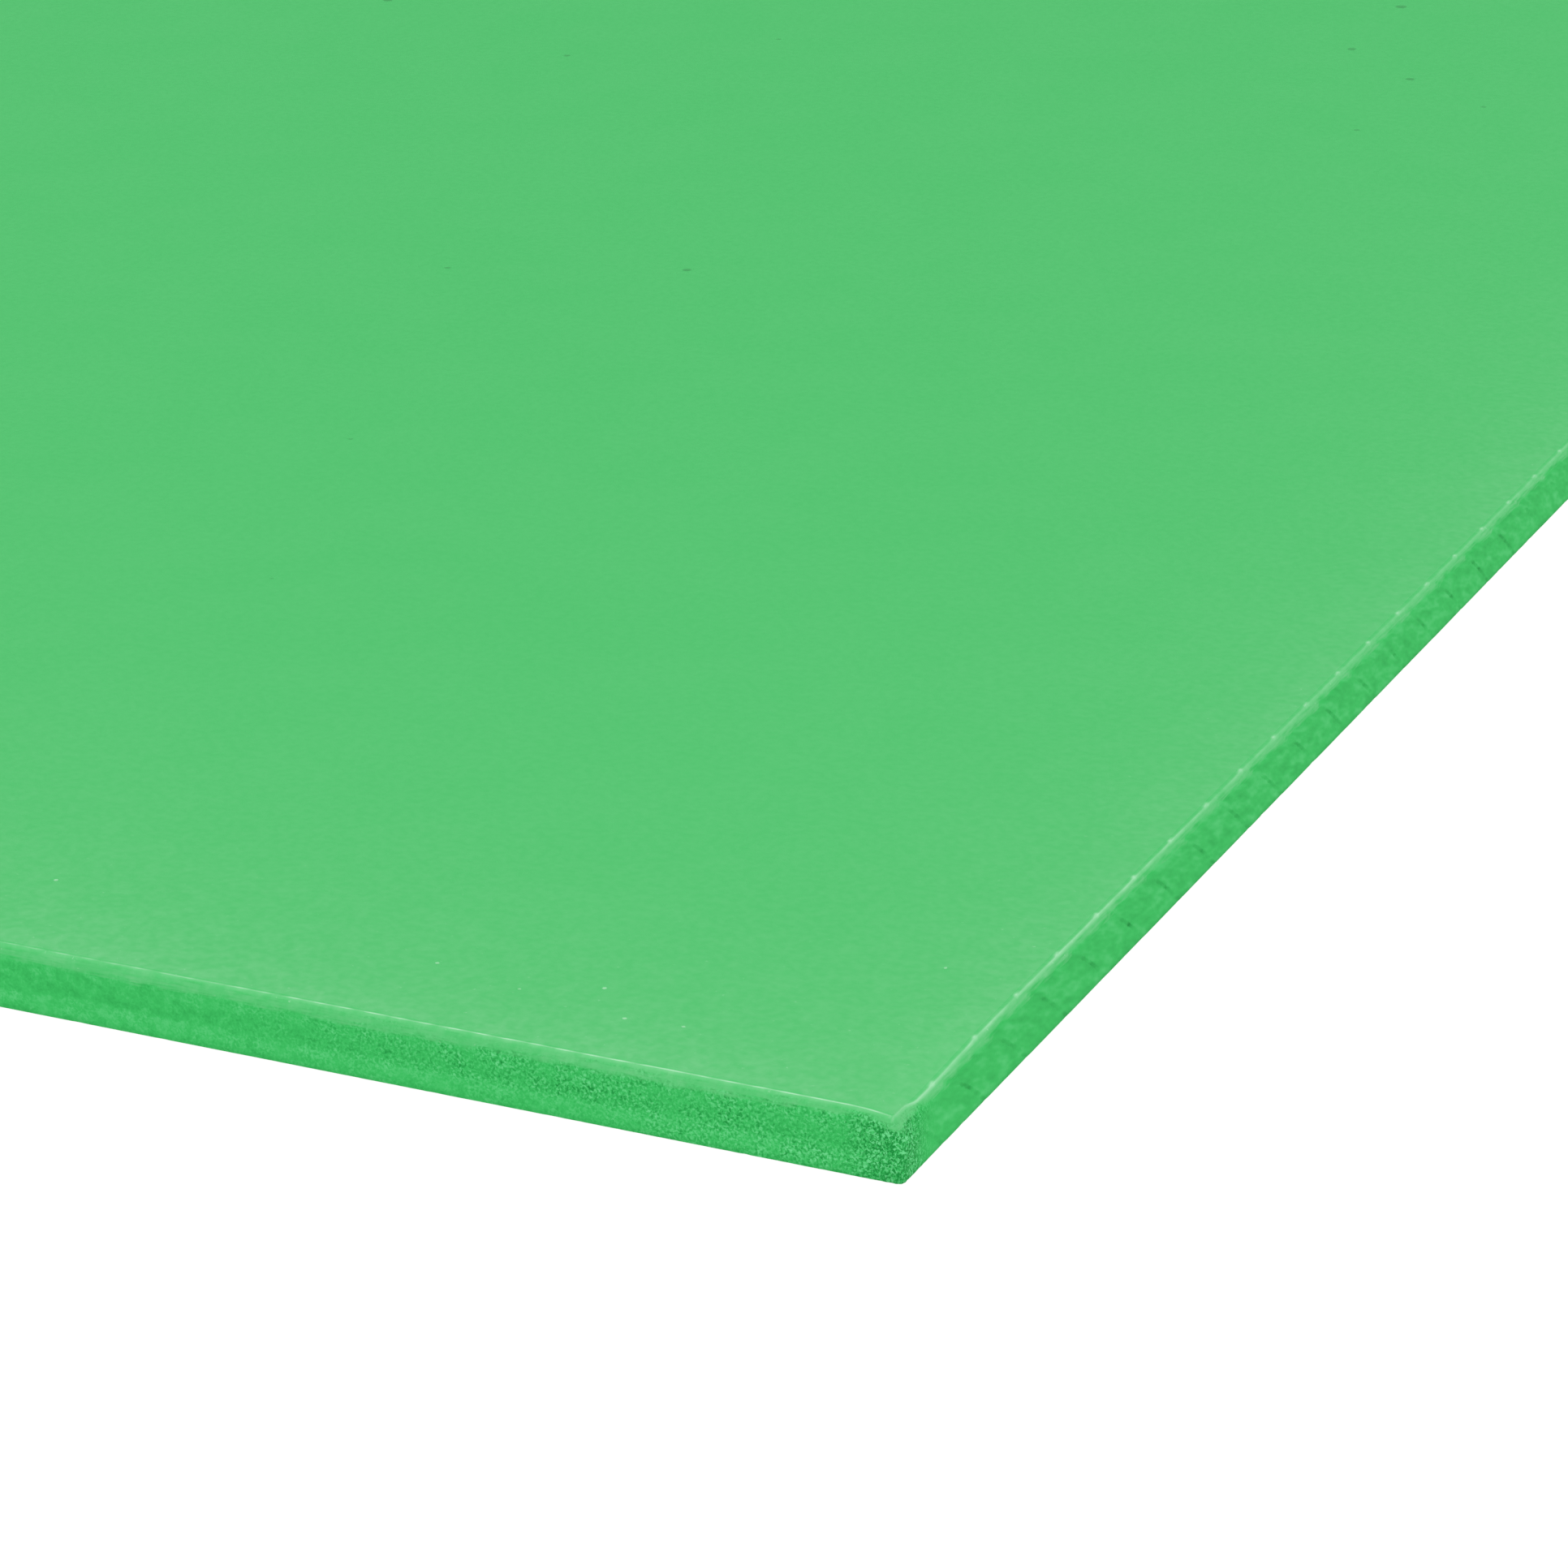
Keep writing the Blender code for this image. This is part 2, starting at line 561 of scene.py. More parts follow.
def skin_at(place, out, torn, knocked):
    """The skin ends above the cells, lower at each saw tongue and on a knocked corner."""
    drop = thickness - place.z
    sawn = out.x ** 2
    ends = SHEARED_SKIN + sawn * (SAWN_SKIN - SHEARED_SKIN + TONGUE * (saw_track(place) % 1) ** 2)
    ends += SKIN_SWAY * wave(place, SKIN_WAVES, 4) - TORN_LOSS * torn
    ends -= CORNER_LOSS * out.y ** 2 * bell(from_corner(place), CORNER_LOSS_REACH)
    ends += NOSE * knocked
    on_edge = STRETCHED * (1 - smooth(ends - SKIN_FADE, ends + SKIN_FADE, drop))
    on_face = smooth(SHOULDER_INSET / 2, SHOULDER_INSET, depth_in(place))
    return max(on_edge, on_face)


# %% The other marks
# The foam is torn up to the first distance from a corner, and no more past the
# second
TORN_REACH = (1.5 * MM, 6.0 * MM)
# Far from a corner the knife smeared the whole cut, and nearer only its foot,
# below this drop from the face
SMEARED_FAR, FAR_SHARE = (24 * MM, 60 * MM), 0.8
SMEARED_LOW, LOW_SHARE = (8 * MM, 30 * MM), 0.7
SMEARED_FOOT = (3.0 * MM, 3.8 * MM)
# Rubbing and painted sheen: near the arris, and wider; then how strong the near part, its
# patches, the part from a cut end and the part from any edge are
RUB_REACH = (5.0 * MM, 24.0 * MM)
RUB_PATCH = 11 * MM
RUB_NEAR, RUB_PATCHY, RUB_END, RUB_WIDE = 0.5, 0.5, 0.4, 0.25
# Painted shade on the lower arris: its height, the width of its waves, and its reach from a
# corner
RIM_HEIGHT = 0.3 * MM
RIM_WAVES = 1.5 * MM
RIM_CORNER = 1.5 * MM
# Middle and reach in millimetres below the face, and how much paler: the low paler band, and the
# darker one above it
HEIGHT_BANDS = ((3.7, 0.5, 1.0), (2.6, 0.8, -0.8))


def smeared_at(place, out, torn):
    """A saw wipes the cells shut, and so does a knife, low down and far from a corner."""
    far = smooth(*SMEARED_FAR, from_corner(place))
    low = smooth(*SMEARED_LOW, from_corner(place))
    low *= smooth(*SMEARED_FOOT, thickness - place.z)
    knifed = max(FAR_SHARE * far, LOW_SHARE * low)
    return (knifed + out.x ** 2 * (1 - knifed)) * (1 - torn)


def rubbed_and_sheen_at(place, out):
    """Rubbed and painted with sheen most at the arris, unevenly, and a little for some way in
    from a cut end.
    """
    if place.z < thickness / 2:
        return 0.0
    near, wide = RUB_REACH
    patches = 1 + RUB_PATCHY * wave(place, RUB_PATCH, 8)
    rubbed_and_sheen = RUB_NEAR * math.exp(-depth_in(place) / near) * patches
    end = half_y - abs(place.y)
    rubbed_and_sheen += RUB_END * math.exp(-end / wide)
    return rubbed_and_sheen + RUB_WIDE * math.exp(-depth_in(place) / wide)


def rim_shade_at(place):
    """Painted shade along the lower arris, most of it at the corners."""
    along = bell(place.z, RIM_HEIGHT) * (0.8 + 0.4 * wave(place, RIM_WAVES, 7))
    corner = bell(place.z, 2 * RIM_HEIGHT) * bell(from_corner(place), RIM_CORNER)
    return max(along, corner)


def height_bands_at(place, out):
    """A paler band along the lower third of a cut end, and a darker one above it."""
    drop = (thickness - place.z) / MM
    bands = sum(share * bell(drop - middle, reach) for middle, reach, share in HEIGHT_BANDS)
    return out.y ** 2 * bands


# %% [markdown]
# The lip is a line of torn skin, thicker in beads. The knife left a bead every 2 mm, and the saw
# a burr at each track. The line is worn thin away from the corners. Its paleness is partly the
# whitened torn skin and partly a painted highlight on the crease, and a faint band of painted
# highlight runs down the sawn shoulder.

# %% Paint the lip
lip_line = SHOULDER_INSET + LIP_STEPS[0][0] * MM
LIP_REACH = 0.07 * MM
# The knife folded its lip over, a little further in than the crest
KNIFE_FOLD = 0.02 * MM
KNIFE_PITCH = 2.13 * MM
KNIFE_BEADS = 0.8
# Uneven lumps along the lip, and their width
LIP_LUMPS, LUMP_SIZE = 0.8, 1.6 * MM
# How thick the line usually is, its thinnest and its thickest
LIP_USUAL, LIP_THIN, LIP_THICK = 0.7, 0.1, 1.4
# Near a corner it is more even and thicker, by this much and over this reach
LIP_EVEN, EVEN_REACH = 0.35, 15 * MM
# Away from the corners it loses this share between these two distances
LIP_WEAR, WEAR_REACH = 0.7, (18 * MM, 85 * MM)
# How pale the knife's lip is, whitened skin and painted highlight together, and how much fainter
# the saw's
LIP_STRONG, SAW_FAINTER = 1.05, 0.58
# A faint band of painted highlight and whitening also runs down the sawn shoulder, at this share
# of its width
SAW_HALO, HALO_STRONG, HALO_PLACE = 0.28 * MM, 0.09, 0.7
# The blunted corner has lost this share of the lip, over this reach
KNOCK_WEAR, KNOCK_WORN = 0.6, 2.5 * MM
BURR_REACH = 0.3 * MM
# A burr's strength, how far inside the lip's crest it lies, and its width
BURR_STRONG, BURR_INSIDE, BURR_WIDTH = 0.7, 0.05 * MM, 0.13 * MM


def burr_at(place, out):
    """Where the saw raised a burr on a long edge: 1 on a track, 0 between two."""
    return out.x ** 2 * bell(from_track(saw_track(place)), BURR_REACH)


def bead_at(place, out):
    """How thick the lip is along the edge."""
    knife_mark = 0.5 + 0.5 * math.cos(2 * math.pi * (half_x - place.x) / KNIFE_PITCH)
    even = LIP_EVEN * bell(from_corner(place), EVEN_REACH)
    uneven = out.y ** 2 * KNIFE_BEADS * (knife_mark ** 2 - 0.4)
    uneven += LIP_LUMPS * wave(place, LUMP_SIZE, 5)
    bead = min(max(LIP_USUAL + even + (1 - even) * uneven, LIP_THIN), LIP_THICK)
    return bead * (1 - LIP_WEAR * smooth(*WEAR_REACH, from_corner(place)))


def lip_and_highlight_at(place, out):
    """How pale the lip makes a point: a ridge along the crease, whitened skin with a painted
    highlight, and the saw's burrs.
    """
    if place.z < thickness / 2:
        return 0.0
    depth = depth_in(place)
    sawn = out.x ** 2
    knifed = lip_line + KNIFE_FOLD
    middle = knifed + (SHOULDER_INSET - knifed) * sawn
    strong = LIP_STRONG - SAW_FAINTER * sawn
    ridge = bell(depth - middle, LIP_REACH) * bead_at(place, out) * strong
    ridge += HALO_STRONG * sawn * bell(depth - HALO_PLACE * SHOULDER_INSET, SAW_HALO)
    ridge *= 1 - KNOCK_WEAR * bell(from_corner(place), KNOCK_WORN)
    burr = BURR_STRONG * burr_at(place, out)
    burr *= bell(depth - lip_line - BURR_INSIDE, BURR_WIDTH)
    return min(ridge + burr, 1.0)


# %% [markdown]
# The relief itself: slow waves of the cutter, the roughness of the cells,
# stronger where they are torn, and nicks in the lower arris. Each is a depth
# and the width of its lumps.

# %% How deep the cut surface lies
EDGE_WAVE, EDGE_WAVE_SIZE = 0.02 * MM, 7 * MM
CELL_RELIEF, CELL_SIZE = 0.03 * MM, 0.6 * MM
TORN_DEEPER = 1.2
NICK_DEPTH, NICK_SIZE = 0.03 * MM, 1.4 * MM
# Only the strongest lumps of the noise make a nick, up to this height
NICKED, NICK_HEIGHT = (0.3, 0.6), 0.35 * MM
# The saw's marks start below the lip, and on the long edges only
SAW_START = 0.6 * MM
LONG_EDGE = 0.7


def cut_depth(place, out, skin, torn):
    """How far in from the blank the cut surface lies."""
    depth = EDGE_WAVE * (0.5 + 0.5 * wave(place, EDGE_WAVE_SIZE, 1))
    open_cells = (1 - skin) * (1 - 0.8 * smeared_at(place, out, torn))
    depth += CELL_RELIEF * open_cells * (1 + TORN_DEEPER * torn) * wave(place, CELL_SIZE, 2)
    nicked = smooth(*NICKED, wave(place, NICK_SIZE, 9))
    depth += NICK_DEPTH * nicked * bell(place.z, NICK_HEIGHT)
    if abs(out.x) > LONG_EDGE:
        depth += saw_cut(place) * smooth(0, SAW_START, thickness - place.z)
    return max(depth, -ROUGH_ROOM)


# %% Move and paint each point
LIP_WIDTH = 0.2 * MM
# The lip sways in and out, and dips between the burrs: how far, in what waves
LIP_SWAY, SWAY_SIZE = 0.05 * MM, 2.2 * MM
LIP_DIP, DIP_SIZE = 0.5 * LIP_HEIGHT, 2.5 * MM
# A burr lifts the skin inside the lip by this much, over this reach
BURR_LIFT, LIFT_REACH = 0.8 * LIP_HEIGHT, 0.3 * MM
# The upright corner is drawn out to a crisper one at its foot, fading upwards
SHARPEN, SHARPEN_HEIGHT = 0.13 * MM, 3 * MM

PAINTS = ("skin", "smeared", "lip_and_highlight", "rubbed_and_sheen", "torn", "rim_shade", "height_bands", "track", "tear")
paint = {name: board.verts.layers.float.new(name) for name in PAINTS}


def moved_point(place, out, on_side, inwards):
    """Where a point goes before the knocks."""
    from_lip = depth_in(place) - lip_line
    on_lip = bell(from_lip, LIP_WIDTH) * (place.z > thickness - 4 * LIP_HEIGHT)
    burr = burr_at(place, out)
    moved = place - out * inwards * on_side
    at_foot = 1 - smooth(0, SHARPEN_HEIGHT, place.z)
    crisp = SHARPEN * (2 * out.x * out.y) ** 2 * at_foot * on_side
    moved += out * (crisp + LIP_SWAY * on_lip * wave(place, SWAY_SIZE, 3))
    moved.z -= on_lip * LIP_DIP * (0.5 + 0.5 * wave(place, DIP_SIZE, 6)) * (1 - burr)
    if on_lip < 0.9:
        moved.z += (1 - on_side) * BURR_LIFT * burr * bell(from_lip, LIFT_REACH)
    return moved


def shape_point(vert):
    """Move a point, and paint it with what it was like before the move."""
    place = vert.co.copy()
    out = outwards(place)
    torn = 1 - smooth(*TORN_REACH, from_corner(place))
    knock = which_knock(place)
    skin = skin_at(place, out, torn, knock_in(place, knock)[1])
    on_side = 1 - smooth(SHOULDER_INSET, CORNER_RADIUS, depth_in(place))
    moved = moved_point(place, out, on_side, cut_depth(place, out, skin, torn))
    vert.co = knock_in(moved, knock)[0]

    vert[paint["skin"]] = skin
    vert[paint["smeared"]] = smeared_at(place, out, torn)
    vert[paint["lip_and_highlight"]] = lip_and_highlight_at(place, out)
    vert[paint["rubbed_and_sheen"]] = rubbed_and_sheen_at(place, out)
    vert[paint["torn"]] = torn
    vert[paint["rim_shade"]] = on_side * rim_shade_at(place)
    vert[paint["height_bands"]] = height_bands_at(place, out)
    vert[paint["track"]] = saw_track(place)
    vert[paint["tear"]] = tear_at(place) * out.x ** 2 * (1 - torn)


for vert in board.verts:
    shape_point(vert)
heights = [vert.co.z / MM for vert in board.verts]
print("heights in mm:", round(min(heights), 3), "to", round(max(heights), 3))

# %% [markdown]
# ## From bmesh to a piece
#
# The faces that carry the flat skin and those of the cut edge get two
# materials. The flat skin needs none of the cell pattern, and leaving it out
# almost halves the time of a render.

# %% Turn the blank into a piece
SKIN_SLOT, CUT_SLOT = 0, 1


def finish_piece(bm, name, materials):
    bmesh.ops.recalc_face_normals(bm, faces=bm.faces)
    mesh = bpy.data.meshes.new(name)
    bm.to_mesh(mesh)
    bm.free()
    mesh.shade_smooth()
    for material in materials:
        mesh.materials.append(material)
    piece = bpy.data.objects.new(name, mesh)
    bpy.context.scene.collection.objects.link(piece)
    return piece


for face in board.faces:
    middle = face.calc_center_median()
    face.material_index = CUT_SLOT if depth_in(middle) < CORNER_RADIUS else SKIN_SLOT
skin_pvc = bpy.data.materials.new("foamed_pvc_skin")
cut_pvc = bpy.data.materials.new("foamed_pvc_cut")
sheet = finish_piece(board, "foam_board_sheet", (skin_pvc, cut_pvc))
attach(sheet, "root")
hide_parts("foam_board")
triangles = sum(len(face.vertices) - 2 for face in sheet.data.polygons)
print("sheet:", triangles, "triangles")

# %% [markdown]
# ## Two helpers for materials
#
# Colours are written the way a paint program shows them, and a shader wants
# them linear. Nodes are added by one function, which takes a node's inputs by
# name or in order, each a plain value or the output of another node.

# %% Material helpers
def linear(hex_code):
    """An sRGB hex colour as the linear values that a shader takes."""
    found = []
    for i in (1, 3, 5):
        value = int(hex_code[i:i + 2], 16) / 255
        found.append(value / 12.92 if value <= 0.04045 else ((value + 0.055) / 1.055) ** 2.4)
    return (*found, 1.0)


def add(tree, kind, inputs=(), output=None, **settings):
    """Add a node with its settings and inputs, and give its first or named output."""
    node = tree.nodes.new(kind)
    for name, value in settings.items():
        setattr(node, name, value)
    live = [socket for socket in node.inputs if socket.enabled]
    if isinstance(inputs, dict):
        named = {socket.name: socket for socket in live}
        pairs = [(named[name], value) for name, value in inputs.items()]
    else:
        pairs = zip(live, inputs)
    for socket, value in pairs:
        if isinstance(value, bpy.types.NodeSocket):
            tree.links.new(value, socket)
        else:
            socket.default_value = value
    return node.outputs[output] if output else next(out for out in node.outputs if out.enabled)


# %% [markdown]
# ## The satin skin
#
# The skin is solid PVC, coloured through, and it froze against a polished roller. It is satin: a
# broad soft sheen and no clear reflections. Close up it is faintly cloudy, in grains under a
# millimetre wide and in clouds of a centimetre. Near the arrises, where hands and other sheets
# rubbed it, it is paler, with worn patches a few millimetres wide and tiny pale specks, and part
# of that paleness is a painted sheen.

# %% The satin skin
SKIN_GREEN = "#41BA63"
# The pale colour of rubbed skin with painted sheen, and of the pale grains
WEAR_SHEEN_AND_GRAIN_PALE = "#CDEFD5"
SCORCHED = "#12692E"
# The lip's whitened skin with a painted highlight on the crease
LIP_PALE_AND_HIGHLIGHT = "#BDEBC9"
MOTTLE_MM = 0.7
CLOUD_MM = 9.0
WORN_PATCH_MM = 2.4
# A speck is only the top of a lump, so it is much narrower than the lump
SPECK_MM = 0.45
# Most of a noise lies between these two values
NOISE_LOW, NOISE_HIGH = 0.35, 0.65
# How much of the pale colour the skin takes: in the clouds, in the grain all over and where it is
# rubbed and painted with sheen, in a worn patch at least and at most, in a speck
HAZE_PALE = 0.008
GRAIN_PALE, GRAIN_RUBBED = 0.005, 0.04
PATCH_LEAST, PATCH_MOST = 0.036, 0.066
SPECK_PALE = 0.25
# How much of its own colour a dark grain and the lip take
SCORCH_SHARE, LIP_SHARE = 0.4, 0.8
SKIN_ROUGH = (0.44, 0.5)
SKIN_BUMP_MM = 0.002


def build_skin(tree):
    """Colour, roughness and relief of the skin, for any material that shows it."""
    place = add(tree, "ShaderNodeTexCoord", output="Object")
    settings = {"Vector": place, "Scale": 1 / (MOTTLE_MM * MM), "Detail": 2.0}
    mottle = add(tree, "ShaderNodeTexNoise", settings)
    settings = {"Vector": place, "Scale": 1 / (CLOUD_MM * MM), "Detail": 2.0}
    cloud = add(tree, "ShaderNodeTexNoise", settings)
    haze = add(tree, "ShaderNodeMapRange", [cloud, NOISE_LOW, NOISE_HIGH, 0.0, HAZE_PALE])
    grainy = add(tree, "ShaderNodeMapRange", [mottle, NOISE_LOW, NOISE_HIGH, 0.0, 1.0])
    # Rubbed skin and painted sheen near the arris
    rubbed_and_sheen = add(tree, "ShaderNodeAttribute", attribute_name="rubbed_and_sheen", output="Fac")
    inputs = [rubbed_and_sheen, GRAIN_RUBBED, GRAIN_PALE]
    worn = add(tree, "ShaderNodeMath", inputs, operation="MULTIPLY_ADD")
    worn = add(tree, "ShaderNodeMath", [worn, grainy, haze], operation="MULTIPLY_ADD")
    settings = {"Vector": place, "Scale": 1 / (WORN_PATCH_MM * MM), "Detail": 3.0}
    patchy = add(tree, "ShaderNodeTexNoise", settings)
    patchy = add(tree, "ShaderNodeMapRange", [patchy, 0.5, 0.62, PATCH_LEAST, PATCH_MOST])
    worn = add(tree, "ShaderNodeMath", [rubbed_and_sheen, patchy, worn], operation="MULTIPLY_ADD")
    speck = add(tree, "ShaderNodeTexNoise", {"Vector": place, "Scale": 1 / (SPECK_MM * MM)})
    speck = add(tree, "ShaderNodeMapRange", [speck, 0.7, 0.8, 0.0, SPECK_PALE])
    worn = add(tree, "ShaderNodeMath", [rubbed_and_sheen, speck, worn], operation="MULTIPLY_ADD")
    green = add(
        tree, "ShaderNodeMix", [worn, linear(SKIN_GREEN), linear(WEAR_SHEEN_AND_GRAIN_PALE)], data_type="RGBA",
    )
    grain = add(tree, "ShaderNodeAttribute", attribute_name="grain", output="Fac")
    dark = add(tree, "ShaderNodeMapRange", [grain, 0.0, -1.0, 0.0, SCORCH_SHARE])
    pale = add(tree, "ShaderNodeMapRange", [grain, 0.0, 1.0, 0.0, 1.0])
    green = add(tree, "ShaderNodeMix", [dark, green, linear(SCORCHED)], data_type="RGBA")
    green = add(tree, "ShaderNodeMix", [pale, green, linear(WEAR_SHEEN_AND_GRAIN_PALE)], data_type="RGBA")
    # The pale lip: whitened skin and a painted highlight
    lip_and_highlight = add(tree, "ShaderNodeAttribute", attribute_name="lip_and_highlight", output="Fac")
    lip_and_highlight = add(tree, "ShaderNodeMath", [lip_and_highlight, LIP_SHARE], operation="MULTIPLY")
    green = add(tree, "ShaderNodeMix", [lip_and_highlight, green, linear(LIP_PALE_AND_HIGHLIGHT)], data_type="RGBA")
    roughness = add(tree, "ShaderNodeMapRange", [mottle, NOISE_LOW, NOISE_HIGH, *SKIN_ROUGH])
    relief = add(tree, "ShaderNodeMath", [mottle, SKIN_BUMP_MM], operation="MULTIPLY")
    return green, roughness, relief


PVC_IOR = 1.53


def finish_material(material, colour, roughness, relief):
    """Link the finish; relief is in millimetres."""
    tree = material.node_tree
    shader = tree.nodes["Principled BSDF"]
    normal = add(tree, "ShaderNodeBump", {"Height": relief, "Strength": 1.0, "Distance": MM})
    tree.links.new(colour, shader.inputs["Base Color"])
    tree.links.new(roughness, shader.inputs["Roughness"])
    tree.links.new(normal, shader.inputs["Normal"])
    shader.inputs["IOR"].default_value = PVC_IOR
    return shader


skin_pvc.use_nodes = True
finish_material(skin_pvc, *build_skin(skin_pvc.node_tree))

# %% [markdown]
# ## The cut foam
#
# Below the shoulder the cutter opened the cells. Each open cell is a tiny bowl, dark inside, and
# shreds of its wall catch the light: the colour paints that shade in the pits and that light on
# the walls, and the foam's green is painted a little darker than the skin for the shade in its
# cells. A Voronoi pattern would split the edge into neat cells, but a blade drags and tears them,
# and then noise with some distortion comes closer. A second, wider noise makes the contrast
# strong in one place and weak in the next. At the upright corners the foam is torn, and its
# shreds are larger, with deeper gaps.
#
# A sawn edge is smeared instead: its cells are almost closed, with soft blotches a millimetre
# wide, and dark scores along the track of each tooth, painted shade in the grooves that the teeth
# tore out.

# %% The cut foam
# Painted shade in the pits, the foam's green darkened a little by painted shade, and painted
# light on the walls
FOAM_SHADE = "#148C3B"
CELL_GREEN = "#39BA5D"
CELL_WALL_LIGHT = "#6BD68B"
# A noise's lumps are a little wider than its size, so this draws cells of 0.3 mm
CELL_MM = 0.22
TORN_MM = 0.21
PATCH_MM = 2.0
# The cells' contrast, where a patch has the least and the most of it
CONTRAST = (0.9, 2.4)
# The shreds' noise between the first two values becomes a tone between the last
SHREDS = (0.34, 0.66, -0.1, 1.0)


def build_cells(tree, place):
    """The tone of the open cells, from painted shade in the pits at 0 to painted light on the
    walls at 1.
    """
    settings = {"Vector": place, "Scale": 1 / (CELL_MM * MM), "Detail": 1.0, "Distortion": 0.6}
    cells = add(tree, "ShaderNodeTexNoise", settings)
    patch = add(tree, "ShaderNodeTexNoise", {"Vector": place, "Scale": 1 / (PATCH_MM * MM)})
    contrast = add(tree, "ShaderNodeMapRange", [patch, NOISE_LOW, NOISE_HIGH, *CONTRAST])
    cells = add(tree, "ShaderNodeMath", [cells, 0.5], operation="SUBTRACT")
    cells = add(tree, "ShaderNodeMath", [cells, contrast, 0.5], operation="MULTIPLY_ADD")
    settings = {"Vector": place, "Scale": 1 / (TORN_MM * MM), "Detail": 1.0, "Distortion": 1.0}
    shreds = add(tree, "ShaderNodeTexNoise", settings)
    shreds = add(tree, "ShaderNodeMapRange", [shreds, *SHREDS])
    torn = add(tree, "ShaderNodeAttribute", attribute_name="torn", output="Fac")
    return add(tree, "ShaderNodeMix", [torn, cells, shreds], data_type="FLOAT")


# %% Smears and scores
# Size of a blotch along the edge, down it, and inwards
SMEAR_MM = (1.3, 1.0, 0.8)
SMEAR_TONES = (0.2, 0.8)
RAGGED_MM = 0.4
# A score's border, in pitches from the track: where it begins, where it is full,
# and how ragged it is
SCORE_BEGINS, SCORE_FULL, SCORE_RAGGED = 0.08, 0.04, 0.05


def build_smear(tree, place):
    """Soft patches, drawn out along the slanting tracks where a saw made them."""
    across, down, sideways = SMEAR_MM
    track = add(tree, "ShaderNodeAttribute", attribute_name="track", output="Fac")
    track = add(tree, "ShaderNodeMath", [track, MARK_PITCH / (across * MM)], operation="MULTIPLY")
    axes = add(tree, "ShaderNodeSeparateXYZ", [place]).node.outputs
    height = add(tree, "ShaderNodeMath", [axes["Z"], 1 / (down * MM)], operation="MULTIPLY")
    side = add(tree, "ShaderNodeMath", [axes["X"], 1 / (sideways * MM)], operation="MULTIPLY")
    along = add(tree, "ShaderNodeCombineXYZ", [track, height, side])
    smear = add(tree, "ShaderNodeTexNoise", {"Vector": along, "Scale": 1.0, "Detail": 1.0})
    return add(tree, "ShaderNodeMapRange", [smear, 0.0, 1.0, *SMEAR_TONES])


def build_scores(tree, place):
    """Painted shade in the torn grooves on the tracks of the teeth: 1 in a score, 0 elsewhere."""
    track = add(tree, "ShaderNodeAttribute", attribute_name="track", output="Fac")
    off = add(tree, "ShaderNodeMath", [track, 0.5], operation="PINGPONG")
    settings = {"Vector": place, "Scale": 1 / (RAGGED_MM * MM), "Detail": 1.0}
    ragged = add(tree, "ShaderNodeTexNoise", settings)
    off = add(tree, "ShaderNodeMath", [ragged, SCORE_RAGGED, off], operation="MULTIPLY_ADD")
    near = add(
        tree, "ShaderNodeMapRange", [off, SCORE_BEGINS, SCORE_FULL, 0.0, 1.0],
        interpolation_type="SMOOTHSTEP",
    )
    tear = add(tree, "ShaderNodeAttribute", attribute_name="tear", output="Fac")
    return add(tree, "ShaderNodeMath", [near, tear], operation="MULTIPLY")


# %% Colour the foam
# How much of the open cells still shows where they are smeared
CELLS_LEFT = 0.04
# What a score's painted shade and the bands of paler and darker foam add to the tone
SCORE_SHADE, HEIGHT_BAND_TONE = -0.45, 0.08

cut_pvc.use_nodes = True
cut = cut_pvc.node_tree
place = add(cut, "ShaderNodeTexCoord", output="Object")
skin_green, skin_roughness, skin_relief = build_skin(cut)
cells = build_cells(cut, place)
smear = build_smear(cut, place)
wiped = add(cut, "ShaderNodeMix", [CELLS_LEFT, smear, cells], data_type="FLOAT")
smeared = add(cut, "ShaderNodeAttribute", attribute_name="smeared", output="Fac")
tone = add(cut, "ShaderNodeMix", [smeared, cells, wiped], data_type="FLOAT")
# Painted shade in the torn grooves along the saw tracks
scores = build_scores(cut, place)
tone = add(cut, "ShaderNodeMath", [scores, SCORE_SHADE, tone], operation="MULTIPLY_ADD")
height_bands = add(cut, "ShaderNodeAttribute", attribute_name="height_bands", output="Fac")
tone = add(cut, "ShaderNodeMath", [height_bands, HEIGHT_BAND_TONE, tone], operation="MULTIPLY_ADD")

# The tone becomes colour, from painted shade in the pits to painted light on the walls
foam_green = add(cut, "ShaderNodeValToRGB", {"Fac": tone})
foam_ramp = foam_green.node.color_ramp
foam_ramp.elements[0].color = linear(FOAM_SHADE)
foam_ramp.elements[1].color = linear(CELL_WALL_LIGHT)
foam_ramp.elements.new(0.5).color = linear(CELL_GREEN)
print("foam nodes:", len(cut.nodes))

# %% [markdown]
# The skin's lower border is ragged: a noise drawn out along the edge decides at each height
# whether skin or foam shows. Painted shade darkens the lower arris last.

# %% Lay the skin over the foam
STREAK_MM = (2.0, 2.0, 0.16)
# How far the streaks move the border, and between which values the foam turns
# into skin
STREAK_STRONG = 0.9
TURN_LOW, TURN_HIGH = 0.6, 1.3
# How much of the dark foam colour the painted shade on the lower arris takes
RIM_SHADE_SHARE = 0.45
FOAM_ROUGH = 0.85
FOAM_BUMP_MM = 0.05
# Open cells have hardly any gloss
FOAM_GLOSS = 0.12

stretch = [1 / (size * MM) for size in STREAK_MM]
streak_place = add(cut, "ShaderNodeMapping", {"Vector": place, "Scale": stretch})
streak = add(cut, "ShaderNodeTexNoise", {"Vector": streak_place, "Scale": 1.0, "Detail": 1.0})
skin = add(cut, "ShaderNodeAttribute", attribute_name="skin", output="Fac")
ragged = add(cut, "ShaderNodeMath", [streak, STREAK_STRONG, skin], operation="MULTIPLY_ADD")
skin = add(
    cut, "ShaderNodeMapRange", [ragged, TURN_LOW, TURN_HIGH, 0.0, 1.0],
    interpolation_type="SMOOTHSTEP",
)
colour = add(cut, "ShaderNodeMix", [skin, foam_green, skin_green], data_type="RGBA")
